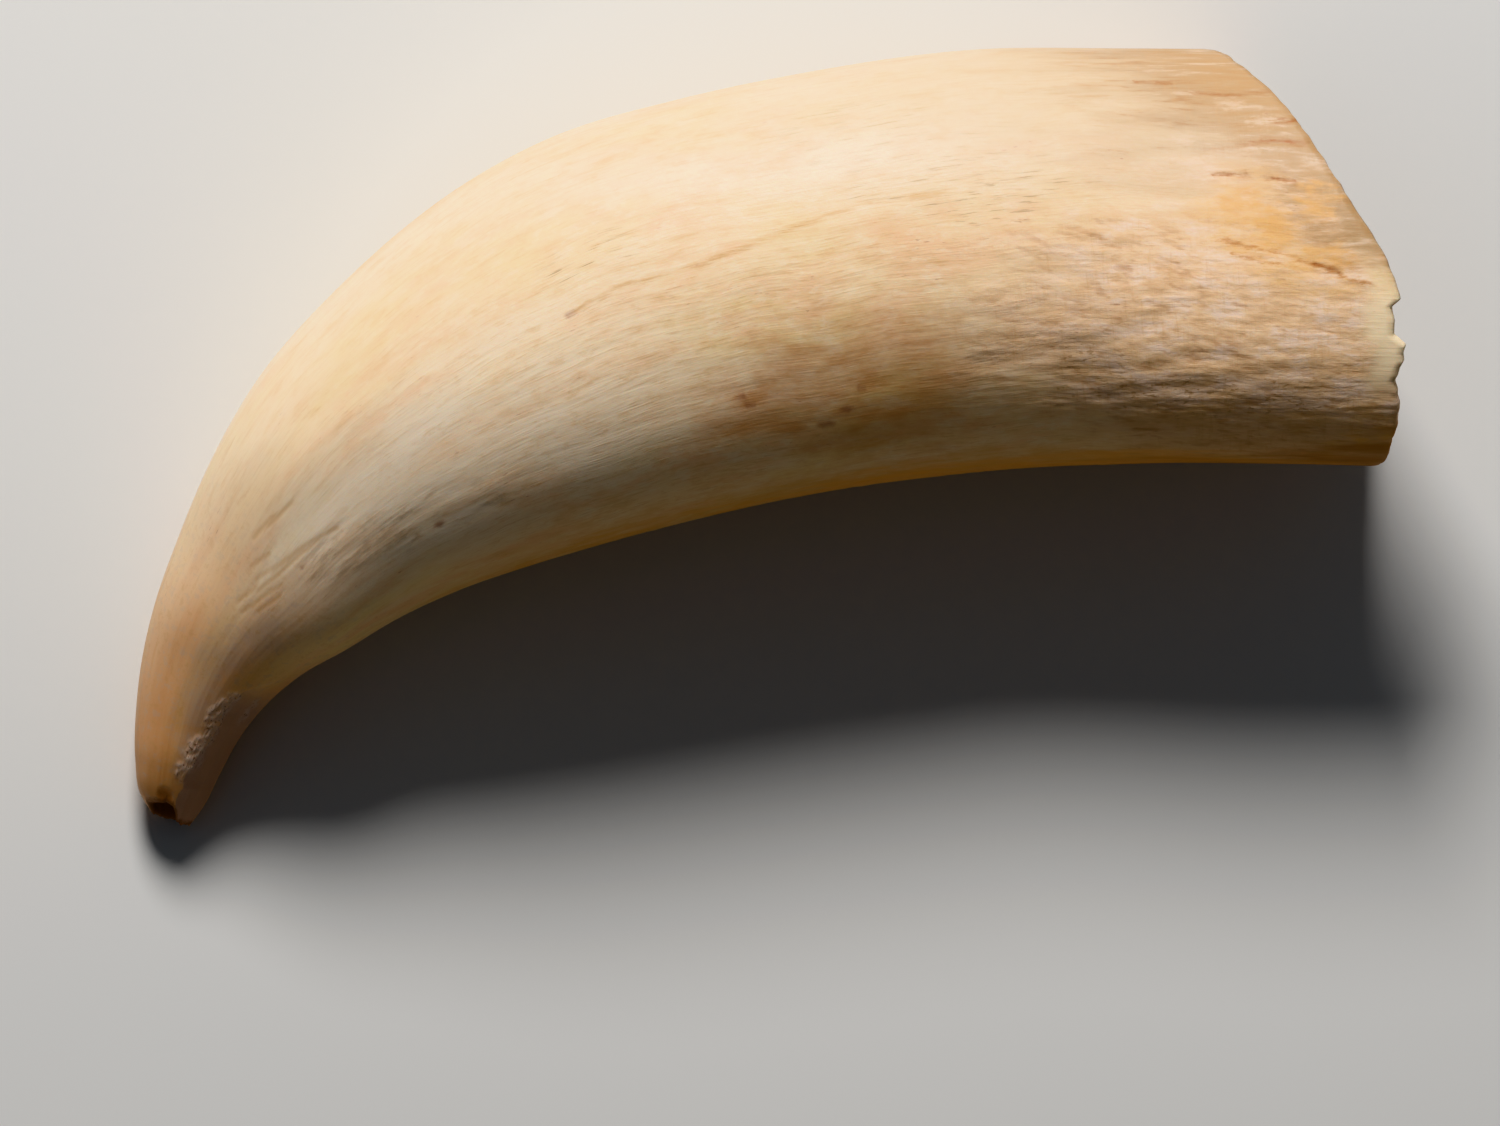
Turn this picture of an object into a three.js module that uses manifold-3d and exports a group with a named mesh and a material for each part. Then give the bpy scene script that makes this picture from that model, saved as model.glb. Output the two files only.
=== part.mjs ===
// A bull sperm whale's tooth, lying on its side. The tooth grew as one piece: a curved cone of oval
// section, worn to a facet and broken off at the tip, with a thin, broken rim at the root where the
// conical pulp cavity opens. Millimetres, +Z up. X runs from the tip to the root and +Y is the side
// of the outer, convex curve. The origin is under the middle of the tooth, on the surface it lies on.

import * as THREE from 'three';
import { LoftGeometry } from 'three/addons/geometries/LoftGeometry.js';
import { ImprovedNoise } from 'three/addons/math/ImprovedNoise.js';
import { mergeVertices } from 'three/addons/utils/BufferGeometryUtils.js';
import Module from 'manifold-3d';

// Stations along the tooth, from the tip to just past the rim. Each gives the point on the outer
// edge and the point on the inner edge, seen from above, then half the height of the section there
// and the height of its lowest point over the surface.
const STATIONS = [
  { outer: [-92.6, -56.6], inner: [-87.2, -58.6], halfHeight: 2.7, lowest: 1.0 },
  { outer: [-94.4, -53.6], inner: [-85.0, -55.6], halfHeight: 4.4, lowest: 0.1 },
  { outer: [-95.1, -48.4], inner: [-82.5, -50.8], halfHeight: 6.2, lowest: -0.3 },
  { outer: [-95.0, -41.6], inner: [-79.4, -45.1], halfHeight: 7.7, lowest: -0.2 },
  { outer: [-94.2, -34.1], inner: [-75.7, -40.4], halfHeight: 9.2, lowest: 0.3 },
  { outer: [-92.1, -24.8], inner: [-70.3, -35.8], halfHeight: 11.3, lowest: 0.9 },
  { outer: [-88.3, -14.3], inner: [-63.3, -31.9], halfHeight: 13.6, lowest: 1.4 },
  { outer: [-83.2, -2.8], inner: [-55.8, -27.4], halfHeight: 16.0, lowest: 1.5 },
  { outer: [-75.7, 9.7], inner: [-46.8, -23.2], halfHeight: 18.5, lowest: 1.2 },
  { outer: [-64.8, 22.0], inner: [-37.0, -19.7], halfHeight: 20.8, lowest: 0.7 },
  { outer: [-50.5, 34.4], inner: [-25.0, -16.1], halfHeight: 22.7, lowest: 0.2 },
  { outer: [-33.3, 44.5], inner: [-10.8, -12.4], halfHeight: 24.0, lowest: -0.3 },
  { outer: [-13.0, 50.8], inner: [5.0, -8.8], halfHeight: 24.7, lowest: -0.4 },
  { outer: [9.5, 55.3], inner: [22.2, -6.2], halfHeight: 24.9, lowest: -0.4 },
  { outer: [33.5, 58.3], inner: [41.0, -4.4], halfHeight: 24.7, lowest: -0.35 },
  { outer: [56.0, 58.4], inner: [60.5, -3.8], halfHeight: 24.2, lowest: -0.3 },
  { outer: [78.5, 58.3], inner: [80.0, -3.9], halfHeight: 23.7, lowest: -0.35 },
  { outer: [98.0, 57.7], inner: [98.0, -4.4], halfHeight: 23.2, lowest: -0.35 },
];
const REACH = 95.4; // X of the point of the rim that stands furthest out

// The broken rim: how far it lies back from REACH, by angle round the section. 0 degrees is the
// outer edge, 90 the top, 180 the inner edge and 270 the underside.
const RIM = [
  [0, 28.2], [25, 23.0], [50, 15.5], [75, 8.0], [88, 3.6], [98, 1.3], [102, 0.9], [104, 2.1],
  [108, 1.7], [112, 1.8], [115, 0.1], [120, 0.4], [126, 1.5], [135, 1.0], [144, 1.2], [150, 2.0],
  [165, 2.7], [180, 4.4], [200, 6.8], [220, 6.0], [245, 5.4], [270, 8.6], [290, 13.6], [310, 20.4],
  [335, 26.6], [360, 28.2],
];
const RIM_WALL = 1.5;

// The pulp cavity, a cone that opens at the rim and closes well inside the tooth.
const CAVITY_DEPTH = 80;
const CAVITY_TAPER = 0.85;

// The worn facet on the inner side of the tip: the angle of its ragged upper edge, by distance from
// the tip along the tooth. It ends where that edge reaches the inner edge of the tooth.
const FACET_EDGE = [
  [0, 96], [5, 103], [9, 108], [13, 119], [15, 124], [19, 119], [22, 123], [25, 135], [28, 155],
  [32, 180],
];

// The broken tip: how far its edge lies back from the very end, by angle round the section, how far
// the middle of the break lies back, and the pit that is left in it.
const TIP_EDGE = [
  [0, 0.2], [15, 0.5], [30, 1.7], [45, 2.3], [60, 2.6], [80, 3.0], [95, 2.6], [104, 1.6],
  [114, 0.4], [125, 0], [170, 0.1], [200, 0.5], [230, 0.3], [300, 0.2], [340, 0.1], [360, 0.2],
];
const TIP_MIDDLE = 1.1;
const PIT_DEPTH = 2.4;
const PIT_RINGS = [
  { scale: 0, sunk: PIT_DEPTH },
  { scale: 0.4, sunk: 0.85 * PIT_DEPTH },
  { scale: 0.68, sunk: 0.15 },
  { scale: 0.9, sunk: 0 },
];

// The oval leans at the root and behind the tip, so that its highest line lies nearer to the inner
// edge there. The root's lean grows towards the rim. The tip's grows and then fades again.
const ROOT_LEAN = 14; // degrees round the section
const ROOT_LEAN_GROWS = [150, 202]; // distances from the tip
const TIP_LEAN = 15;
const TIP_LEAN_GROWS = [4, 26];
const TIP_LEAN_FADES = [36, 60];

// Relief: how square the oval is, broad swellings, and the long folds that roughen the root.
const SQUARENESS = 2.12;
const SWELLING = 0.5;
const SWELLING_LENGTH = 24;
const ROOT_FOLD = 0.42;
const ROOT_FOLDS = [[11, 0.6], [17, 2.1], [26, 4.0]]; // folds round the section, phase
const FOLD_TWIST = 0.012; // radians of phase for each millimetre along the tooth
const FOLDS_BEGIN = 105; // distance from the tip
const FOLDS_FULL = 185;

// Rings of the loft, as shares of the length from tip to rim, and the points round a ring, as
// angles. Both are closer together where the shape is finer.
const BODY_SPANS = [[0, 0.13, 11], [0.13, 0.76, 19], [0.76, 1, 13]];
const CAVITY_RINGS = 12;
const ANGLE_SPANS = [[0, 90, 15], [90, 126, 18], [126, 180, 10], [180, 360, 26]];

const { lerp, smoothstep } = THREE.MathUtils;
const RAD = Math.PI / 180;
const UP = new THREE.Vector3(0, 0, 1);

// The value at x in a list of [x, value] pairs, along straight lines between them.
function along(pairs, x) {
  const next = pairs.findIndex(([at]) => at >= x);
  if (next < 0) return pairs[pairs.length - 1][1];
  if (next === 0) return pairs[0][1];
  const [x0, y0] = pairs[next - 1];
  const [x1, y1] = pairs[next];
  return y0 + ((y1 - y0) * (x - x0)) / (x1 - x0);
}

// Points that split each [from, to, count] span evenly, with the last span's end left out.
function spread(spans) {
  return spans.flatMap(([from, to, count]) =>
    Array.from({ length: count }, (_, i) => from + ((to - from) * i) / count),
  );
}

// Smooth curves through the stations, which share one parameter from 0 to 1.
const outerEdge = new THREE.CatmullRomCurve3(
  STATIONS.map(({ outer, lowest }) => new THREE.Vector3(...outer, lowest)),
);
const innerEdge = new THREE.CatmullRomCurve3(
  STATIONS.map(({ inner, halfHeight }) => new THREE.Vector3(...inner, halfHeight)),
);

// The section at a parameter: its centre, its half width towards the outer edge, its half height.
function section(t) {
  const outer = outerEdge.getPoint(t);
  const inner = innerEdge.getPoint(t);
  const halfHeight = inner.z;
  const centre = outer.clone().add(inner).multiplyScalar(0.5).setZ(outer.z + halfHeight);
  const halfWidth = outer.clone().sub(inner).multiplyScalar(0.5).setZ(0);
  return { centre, halfWidth, halfHeight };
}

// Distance along the middle of the tooth at even steps of the parameter, so that a distance from
// the tip can be turned back into a parameter.
const AXIS_STEPS = 400;
const axisLength = [[0, 0]];
for (let i = 1; i <= AXIS_STEPS; i++) {
  const from = section((i - 1) / AXIS_STEPS).centre;
  const [travelled] = axisLength[i - 1];
  axisLength.push([travelled + from.distanceTo(section(i / AXIS_STEPS).centre), i / AXIS_STEPS]);
}
const stationEnd = STATIONS[STATIONS.length - 1].outer[0];
const reachLength = axisLength[AXIS_STEPS][0] - (stationEnd - REACH);
const parameterAt = (distance) => along(axisLength, distance);

const rimDistance = (angle) => reachLength - along(RIM, angle);
const tipDistance = (angle, scale = 1) => lerp(TIP_MIDDLE, along(TIP_EDGE, angle), scale);

// How far a surface point lies from the middle, as a share of the plain oval: the facet cuts
// straight from its ragged edge to the inner edge of the tooth.
function facetShare(angle, distance) {
  const edge = along(FACET_EDGE, distance);
  if (angle <= edge || angle >= 180) return 1;
  const half = (180 - edge) / 2;
  return Math.cos(half * RAD) / Math.cos((angle - edge - half) * RAD);
}

// Height of the swellings and root folds over the oval, in millimetres.
const noise = new ImprovedNoise();
function relief(angle, distance, point) {
  const { x, y, z } = point.clone().divideScalar(SWELLING_LENGTH);
  const folded = smoothstep(distance, FOLDS_BEGIN, FOLDS_FULL);
  const folds = ROOT_FOLDS.reduce(
    (sum, [count, phase]) => sum + Math.sin(count * angle * RAD + phase + FOLD_TWIST * distance),
    0,
  );
  return SWELLING * noise.noise(x, y, z) + (ROOT_FOLD * folded * folds) / ROOT_FOLDS.length;
}

// A point of the tooth: scale 1 is the outside and less lies inside it.
function pointAt(angle, distance, scale = 1) {
  const { centre, halfWidth, halfHeight } = section(parameterAt(distance));
  const atTip = smoothstep(distance, ...TIP_LEAN_GROWS) - smoothstep(distance, ...TIP_LEAN_FADES);
  const lean = ROOT_LEAN * smoothstep(distance, ...ROOT_LEAN_GROWS) + TIP_LEAN * atTip;
  const cos = Math.cos(angle * RAD);
  const sin = Math.sin(angle * RAD);
  const bulge = (Math.abs(cos) ** SQUARENESS + Math.abs(sin) ** SQUARENESS) ** (-1 / SQUARENESS);
  const share = scale * bulge * facetShare(angle, distance);
  const rise = halfHeight * Math.sin((angle - lean) * RAD);
  const spoke = halfWidth.clone().multiplyScalar(cos).addScaledVector(UP, rise);
  const point = spoke.clone().multiplyScalar(share).add(centre);
  const height = relief(angle, distance, point) * Math.min(1, distance / SWELLING_LENGTH);
  return point.addScaledVector(spoke.normalize(), scale === 1 ? height : 0);
}

// Rings from the pit in the tip, over the outside to the rim, and back down the pulp cavity.
const angles = spread(ANGLE_SPANS);
const ring = (place) => angles.map((angle) => pointAt(...place(angle)));
const pit = PIT_RINGS.map(({ scale, sunk }) =>
  ring((angle) => [angle, tipDistance(angle, scale) + sunk, scale]),
);
const body = [...spread(BODY_SPANS), 1].map((share) =>
  ring((angle) => [angle, lerp(tipDistance(angle), rimDistance(angle), share)]),
);
const apexDistance = reachLength - CAVITY_DEPTH;
const cavity = Array.from({ length: CAVITY_RINGS + 1 }, (_, i) => i / CAVITY_RINGS).map((share) =>
  ring((angle) => {
    const distance = lerp(rimDistance(angle), apexDistance, share);
    const { halfHeight } = section(parameterAt(distance));
    const open = 1 - RIM_WALL / halfHeight;
    return [angle, distance, open * (1 - share) ** CAVITY_TAPER];
  }),
);
const skin = new LoftGeometry([...pit, ...body, ...cavity]);

// The underside is rubbed flat where the tooth rests: what would lie below the surface is cut off.
const wasm = await Module();
wasm.setup();

// Where a ring shrinks to a point, its triangles that have no area are dropped.
function solidFrom(geometry) {
  const bare = new THREE.BufferGeometry();
  bare.setAttribute('position', geometry.getAttribute('position')).setIndex(geometry.getIndex());
  const merged = mergeVertices(bare);
  const corners = merged.index.array;
  const triVerts = [];
  for (let i = 0; i < corners.length; i += 3) {
    const triangle = corners.slice(i, i + 3);
    if (new Set(triangle).size === 3) triVerts.push(...triangle);
  }
  return new wasm.Manifold(
    new wasm.Mesh({
      numProp: 3,
      vertProperties: merged.attributes.position.array,
      triVerts: new Uint32Array(triVerts),
    }),
  );
}

function geometryFrom(solid) {
  const { vertProperties, triVerts } = solid.getMesh();
  const geometry = new THREE.BufferGeometry();
  geometry.setAttribute('position', new THREE.BufferAttribute(vertProperties, 3));
  geometry.setIndex(new THREE.BufferAttribute(triVerts, 1));
  geometry.computeVertexNormals();
  return geometry;
}

const BELOW = 20;
const underground = new THREE.BoxGeometry(3 * REACH, 3 * REACH, BELOW);
underground.translate(0, 0, -BELOW / 2);

const tooth = new THREE.Mesh(
  geometryFrom(solidFrom(skin).subtract(solidFrom(underground))),
  new THREE.MeshStandardMaterial({ color: 0xe6cda4, roughness: 0.42, metalness: 0 }),
);
tooth.name = 'tooth';

const spermWhaleTooth = new THREE.Group();
spermWhaleTooth.add(tooth);

export default spermWhaleTooth;
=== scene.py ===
# A bull sperm whale's tooth, lying on its side and seen from straight above.
# Metres, +Z up. X runs from the tip to the root and +Y is the side of the outer, convex curve.

import math

import bpy
import numpy as np
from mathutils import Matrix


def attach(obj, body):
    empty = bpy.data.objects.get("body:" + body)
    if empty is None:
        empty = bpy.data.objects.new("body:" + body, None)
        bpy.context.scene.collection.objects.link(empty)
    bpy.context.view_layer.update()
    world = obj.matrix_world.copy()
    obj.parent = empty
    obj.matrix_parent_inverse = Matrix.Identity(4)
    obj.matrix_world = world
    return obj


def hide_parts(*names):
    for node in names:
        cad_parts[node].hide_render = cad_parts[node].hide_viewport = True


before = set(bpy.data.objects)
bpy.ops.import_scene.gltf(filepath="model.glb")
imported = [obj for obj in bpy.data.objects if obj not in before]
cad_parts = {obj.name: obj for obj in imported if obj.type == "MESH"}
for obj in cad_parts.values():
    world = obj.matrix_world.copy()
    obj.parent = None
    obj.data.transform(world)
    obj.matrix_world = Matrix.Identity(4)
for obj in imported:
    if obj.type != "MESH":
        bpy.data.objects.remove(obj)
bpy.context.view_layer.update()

# The tooth's form: a curved cone of dentine under a skin of cementum. It grew in layers from the
# pulp, which left the conical cavity open at the root. The tip is worn to a facet and broken, and
# the thin rim of the root is broken off at a slant.
MM = 0.001

# Stations along the tooth, from the tip to just past the rim, in millimetres: the point on the
# outer edge and the one on the inner edge, seen from above, half the height of the section, and
# the height of its lowest point.
STATIONS = np.array([
    (-92.6, -56.6, -87.2, -58.6, 2.7, 1.0),
    (-94.4, -53.6, -85.0, -55.6, 4.4, 0.1),
    (-95.1, -48.4, -82.5, -50.8, 6.2, -0.3),
    (-95.0, -41.6, -79.4, -45.1, 7.7, -0.2),
    (-94.2, -34.1, -75.7, -40.4, 9.2, 0.3),
    (-92.1, -24.8, -70.3, -35.8, 11.3, 0.9),
    (-88.3, -14.3, -63.3, -31.9, 13.6, 1.4),
    (-83.2, -2.8, -55.8, -27.4, 16.0, 1.5),
    (-75.7, 9.7, -46.8, -23.2, 18.5, 1.2),
    (-64.8, 22.0, -37.0, -19.7, 20.8, 0.7),
    (-50.5, 34.4, -25.0, -16.1, 22.7, 0.2),
    (-33.3, 44.5, -10.8, -12.4, 24.0, -0.3),
    (-13.0, 50.8, 5.0, -8.8, 24.7, -0.4),
    (9.5, 55.3, 22.2, -6.2, 24.9, -0.4),
    (33.5, 58.3, 41.0, -4.4, 24.7, -0.35),
    (56.0, 58.4, 60.5, -3.8, 24.2, -0.3),
    (78.5, 58.3, 80.0, -3.9, 23.7, -0.35),
    (98.0, 57.7, 98.0, -4.4, 23.2, -0.35),
]) * MM
REACH = 95.4 * MM  # X of the point of the rim that stands furthest out
SQUARENESS = 2.12  # how square the oval section is

# The broken rim: how far it lies back from REACH, in millimetres, by angle round the section.
# 0 degrees is the outer edge, 90 the top, 180 the inner edge and 270 the underside.
RIM = [
    (0, 28.2), (25, 23.0), (50, 15.5), (75, 8.0), (88, 3.6), (98, 1.3), (102, 0.9), (104, 2.1),
    (108, 1.7), (112, 1.8), (115, 0.1), (120, 0.4), (126, 1.5), (135, 1.0), (144, 1.2),
    (150, 2.0), (165, 2.7), (180, 4.4), (200, 6.8), (220, 6.0), (245, 5.4), (270, 8.6),
    (290, 13.6), (310, 20.4), (335, 26.6), (360, 28.2),
]
RIM_WALL = 1.5 * MM
CHIP_DEPTH = 0.3 * MM  # of the small chips all along the rim
CHIPS_ROUND_RIM = 150

# The pulp cavity, a cone that opens at the rim and closes well inside the tooth.
CAVITY_DEPTH = 80 * MM
CAVITY_TAPER = 0.85

# The worn facet on the inner side of the tip: the angle of its ragged upper edge, by distance
# from the tip in millimetres. It ends where that edge reaches the inner edge of the tooth.
FACET_EDGE = [
    (0, 96), (5, 103), (9, 108), (13, 119), (15, 124), (19, 119), (22, 123), (25, 135), (28, 155),
    (32, 180),
]
FACET_END = 32 * MM
FACET_NARROWEST = 0.02  # degrees, which keeps its flatness finite where it has run out
FACET_RAGGED = 2.6  # degrees
FACET_RAGGED_STEP = 1.1 * MM

# The broken tip: how far its edge lies back from the very end, in millimetres, by angle round the
# section, and the dark pit that is left in it, as rings of (share of the section, share of depth).
TIP_EDGE = [
    (0, 0.2), (15, 0.5), (30, 1.7), (45, 2.3), (60, 2.6), (80, 3.0), (95, 2.6), (104, 1.6),
    (114, 0.4), (125, 0.0), (170, 0.1), (200, 0.5), (230, 0.3), (300, 0.2), (340, 0.1), (360, 0.2),
]
TIP_RAGGED = 0.3 * MM
TIP_RAGGED_STEP = 9  # degrees
TIP_MIDDLE = 1.1 * MM  # how far the middle of the break lies back
PIT_DEPTH = 3.2 * MM
PIT_RINGS = [(0.25, 0.97), (0.45, 0.85), (0.6, 0.55), (0.7, 0.25), (0.78, 0.06), (0.9, 0.0)]
PIT_ROUNDING = 0.02  # how far the pit's last point lies past its last ring, as a share of its depth

# The oval leans at the root and behind the tip, so that its highest line lies nearer to the inner
# edge there. Each lean grows to its full size and the tip's then fades again.
ROOT_LEAN = 14  # degrees round the section
ROOT_LEAN_GROWS = (150 * MM, 202 * MM)
TIP_LEAN = 15
TIP_LEAN_GROWS = (4 * MM, 26 * MM)
TIP_LEAN_FADES = (36 * MM, 60 * MM)

# Rings of points, as shares of the length from tip to rim, and the points round a ring, as
# angles. Both are closer together where the surface is finer.
BODY_SPANS = [(0, 0.13, 82), (0.13, 0.6, 74), (0.6, 1, 82)]
ANGLE_SPANS = [(0, 60, 50), (60, 150, 200), (150, 180, 28), (180, 360, 82)]
CAVITY_RINGS = 22
LIP = [(0.12, 0.2), (0.0, 0.5), (0.15, 0.8)]  # setback in wall widths, place across the wall
LIP_GAP = 0.25 * MM  # from the last ring of the outside to the first of the lip
CAVITY_SETBACK = 0.5 * RIM_WALL

outer, inner = STATIONS[:, 0:2], STATIONS[:, 2:4]
middle = np.column_stack([(outer + inner) / 2, STATIONS[:, 4] + STATIONS[:, 5]])
station_at = np.concatenate([[0], np.cumsum(np.linalg.norm(np.diff(middle, axis=0), axis=1))])
station_slopes = np.gradient(STATIONS, station_at, axis=0)
reach_at = station_at[-1] - (STATIONS[-1, 0] - REACH)


def section(distance):
    """Outer edge, inner edge, half height and lowest point, on smooth curves through the stations."""
    span = np.clip(np.searchsorted(station_at, distance, side="right") - 1, 0, len(STATIONS) - 2)
    width = (station_at[span + 1] - station_at[span])[..., None]
    t = (distance - station_at[span])[..., None] / width
    return (
        (2 * t**3 - 3 * t**2 + 1) * STATIONS[span]
        + (t**3 - 2 * t**2 + t) * width * station_slopes[span]
        + (3 * t**2 - 2 * t**3) * STATIONS[span + 1]
        + (t**3 - t**2) * width * station_slopes[span + 1]
    )


def along(pairs, x):
    """The value at x in a list of (x, value) pairs, along straight lines between them."""
    return np.interp(x, *zip(*pairs))


def spread(spans):
    """Points that split each (from, to, count) span evenly, with the last span's end left out."""
    return np.concatenate([np.linspace(a, b, count, endpoint=False) for a, b, count in spans])


def fade(values, start, end):
    """0 at start and 1 at end, smoothly."""
    t = np.clip((values - start) / (end - start), 0, 1)
    return t * t * (3 - 2 * t)


def rough_line(seed, step, length):
    """A ragged line of random heights from -1 to 1, one for each step, as (x, height) pairs."""
    count = int(length / step) + 2
    return list(zip(np.arange(count) * step, np.random.default_rng(seed).uniform(-1, 1, count)))


angles = spread(ANGLE_SPANS)
chips = rough_line(seed=5, step=360 / CHIPS_ROUND_RIM, length=360)
chips[-2:] = [(360, chips[0][1])]  # so that the last chip runs into the first
rim_at = reach_at - along(RIM, angles) * MM - CHIP_DEPTH * (1 + along(chips, angles)) / 2
tip_breaks = rough_line(seed=8, step=TIP_RAGGED_STEP, length=360)
tip_edge = along(TIP_EDGE, angles) * MM + TIP_RAGGED * along(tip_breaks, angles)

# Every ring has the distance from the tip of each of its points, and how far they lie from the
# middle, as a share of the oval: from the pit in the tip, over the outside and the lip of the rim
# and down the pulp cavity.
body_shares = np.append(spread(BODY_SPANS), 1)[:, None]
body_end = rim_at - LIP[0][0] * RIM_WALL - LIP_GAP
half_height_at_rim = section(rim_at)[:, 4]
open_share = 1 - RIM_WALL / half_height_at_rim
cavity_shares = (np.arange(CAVITY_RINGS) / CAVITY_RINGS)[:, None]
cavity_mouth = rim_at - CAVITY_SETBACK
cavity_at = cavity_mouth + cavity_shares * (reach_at - CAVITY_DEPTH - cavity_mouth)

distance = np.concatenate([
    [TIP_MIDDLE + (tip_edge - TIP_MIDDLE) * scale + sunk * PIT_DEPTH for scale, sunk in PIT_RINGS],
    tip_edge + body_shares * (body_end - tip_edge),
    [rim_at - setback * RIM_WALL for setback, _ in LIP],
    cavity_at,
])
share_out = np.concatenate([
    [np.full(len(angles), scale) for scale, _ in PIT_RINGS],
    np.ones((len(body_shares), len(angles))),
    [1 - across * (1 - open_share) for _, across in LIP],
    (1 - RIM_WALL / section(cavity_at)[..., 4]) * (1 - cavity_shares) ** CAVITY_TAPER,
])
rings = len(distance)
angle = np.broadcast_to(angles, distance.shape)
pit_rings = len(PIT_RINGS)
cavity_begins = rings - CAVITY_RINGS

# The facet cuts straight from its ragged edge to the inner edge of the tooth.
ragged = rough_line(seed=11, step=FACET_RAGGED_STEP, length=FACET_END)
facet_edge = along(FACET_EDGE, distance / MM) + FACET_RAGGED * along(ragged, distance)
facet_half = np.maximum(180 - facet_edge, FACET_NARROWEST) / 2
on_facet = (angle > facet_edge) & (angle < 180)
facet_share = np.cos(np.radians(facet_half)) / np.cos(np.radians(angle - facet_edge - facet_half))

edges = section(distance)
cos, sin = np.cos(np.radians(angle)), np.sin(np.radians(angle))
bulge = (np.abs(cos) ** SQUARENESS + np.abs(sin) ** SQUARENESS) ** (-1 / SQUARENESS)
tip_lean = TIP_LEAN * fade(distance, *TIP_LEAN_GROWS) * (1 - fade(distance, *TIP_LEAN_FADES))
lean = ROOT_LEAN * fade(distance, *ROOT_LEAN_GROWS) + tip_lean
spoke = np.stack([
    (edges[..., 0] - edges[..., 2]) / 2 * cos,
    (edges[..., 1] - edges[..., 3]) / 2 * cos,
    edges[..., 4] * np.sin(np.radians(angle - lean)),
], axis=-1)
spoke *= (share_out * bulge * np.where(on_facet, facet_share, 1))[..., None]
centre = np.stack([
    (edges[..., 0] + edges[..., 2]) / 2,
    (edges[..., 1] + edges[..., 3]) / 2,
    edges[..., 4] + edges[..., 5],
], axis=-1)
points = centre + spoke

# A single point closes the pit and another the end of the cavity.
count = len(angles)
pit_floor = points[0].mean(0)
pit_bottom = pit_floor + (pit_floor - points[pit_rings].mean(0)) * PIT_ROUNDING
ends = [pit_bottom, points[-1].mean(0)]
vertices = np.concatenate([points.reshape(-1, 3), ends])
ring, turn = np.meshgrid(np.arange(rings - 1), np.arange(count), indexing="ij")
near = ring * count + turn
near_next = ring * count + (turn + 1) % count
quads = np.stack([near, near_next, near_next + count, near + count], axis=-1).reshape(-1, 4)
first, last = rings * count, rings * count + 1
around = np.arange(count)
tip_fan = np.stack([np.full(count, first), (around + 1) % count, around], axis=-1)
base = (rings - 1) * count
apex_fan = np.stack([np.full(count, last), base + around, base + (around + 1) % count], axis=-1)

tooth_mesh = bpy.data.meshes.new("grown_tooth")
tooth_mesh.from_pydata(
    vertices.tolist(), [], quads.tolist() + tip_fan.tolist() + apex_fan.tolist()
)
tooth_mesh.shade_smooth()


# Places on the surface, for the marks that each region of the tooth has. Distances are measured
# from the tip, lengths run along the tooth and widths round it, all in millimetres. Angles are
# those of RIM: 0 degrees is the outer edge, 90 the top, 180 the inner edge and 270 the underside.
MEAN_RADIUS = 25 * MM

# The crumbling ridge just over the facet's edge: how far over the edge its middle lies, its half
# width, how strong it is, the two stretches where it comes in and dies out, and its lowest part.
RIDGE_OVER_EDGE = 0.5
RIDGE_HALF_WIDTH = 2.3
RIDGE_STRENGTH = 1.1
RIDGE_STARTS = (10, 4)
RIDGE_ENDS = (21, 25)
RIDGE_LAST_PART = [(20, 160, 5, 1.6)]
FACET_FADES = (27, 20)

# The stretches over which the colours of large areas come in and die out, the first four as
# distances from the tip and the rest as distances from the rim.
CROWN_LIGHT_STARTS = (26, 46)
CROWN_LIGHT_ENDS = (146, 76)
INNER_GLOW_STARTS = (40, 82)
ROOT_CREAM_STARTS = (118, 180)
ROOT_TAN_REACH = 36
RIM_TAN_STARTS = (18, 6)
RIM_BAND_STARTS = (6.5, 2.5)
WRINKLES_END = 3
WRINKLES_END_OVER = 5
ORANGE_ENDS = 7
ORANGE_ENDS_OVER = 10

# Where the cementum is wrinkled, and where the root is orange. On top, neither reaches the rim.
WRINKLED = [
    (197, 114, 46, 22), (208, 142, 32, 18), (206, 215, 36, 18), (196, 262, 40, 20),
    (200, 318, 30, 20),
]
ORANGE_PATCHES = [
    (205, 79, 13, 7), (212, 88, 13, 6), (218, 96, 8, 4), (222, 165, 9, 14), (214, 330, 18, 14),
    (198, 285, 16, 10),
]

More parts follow.
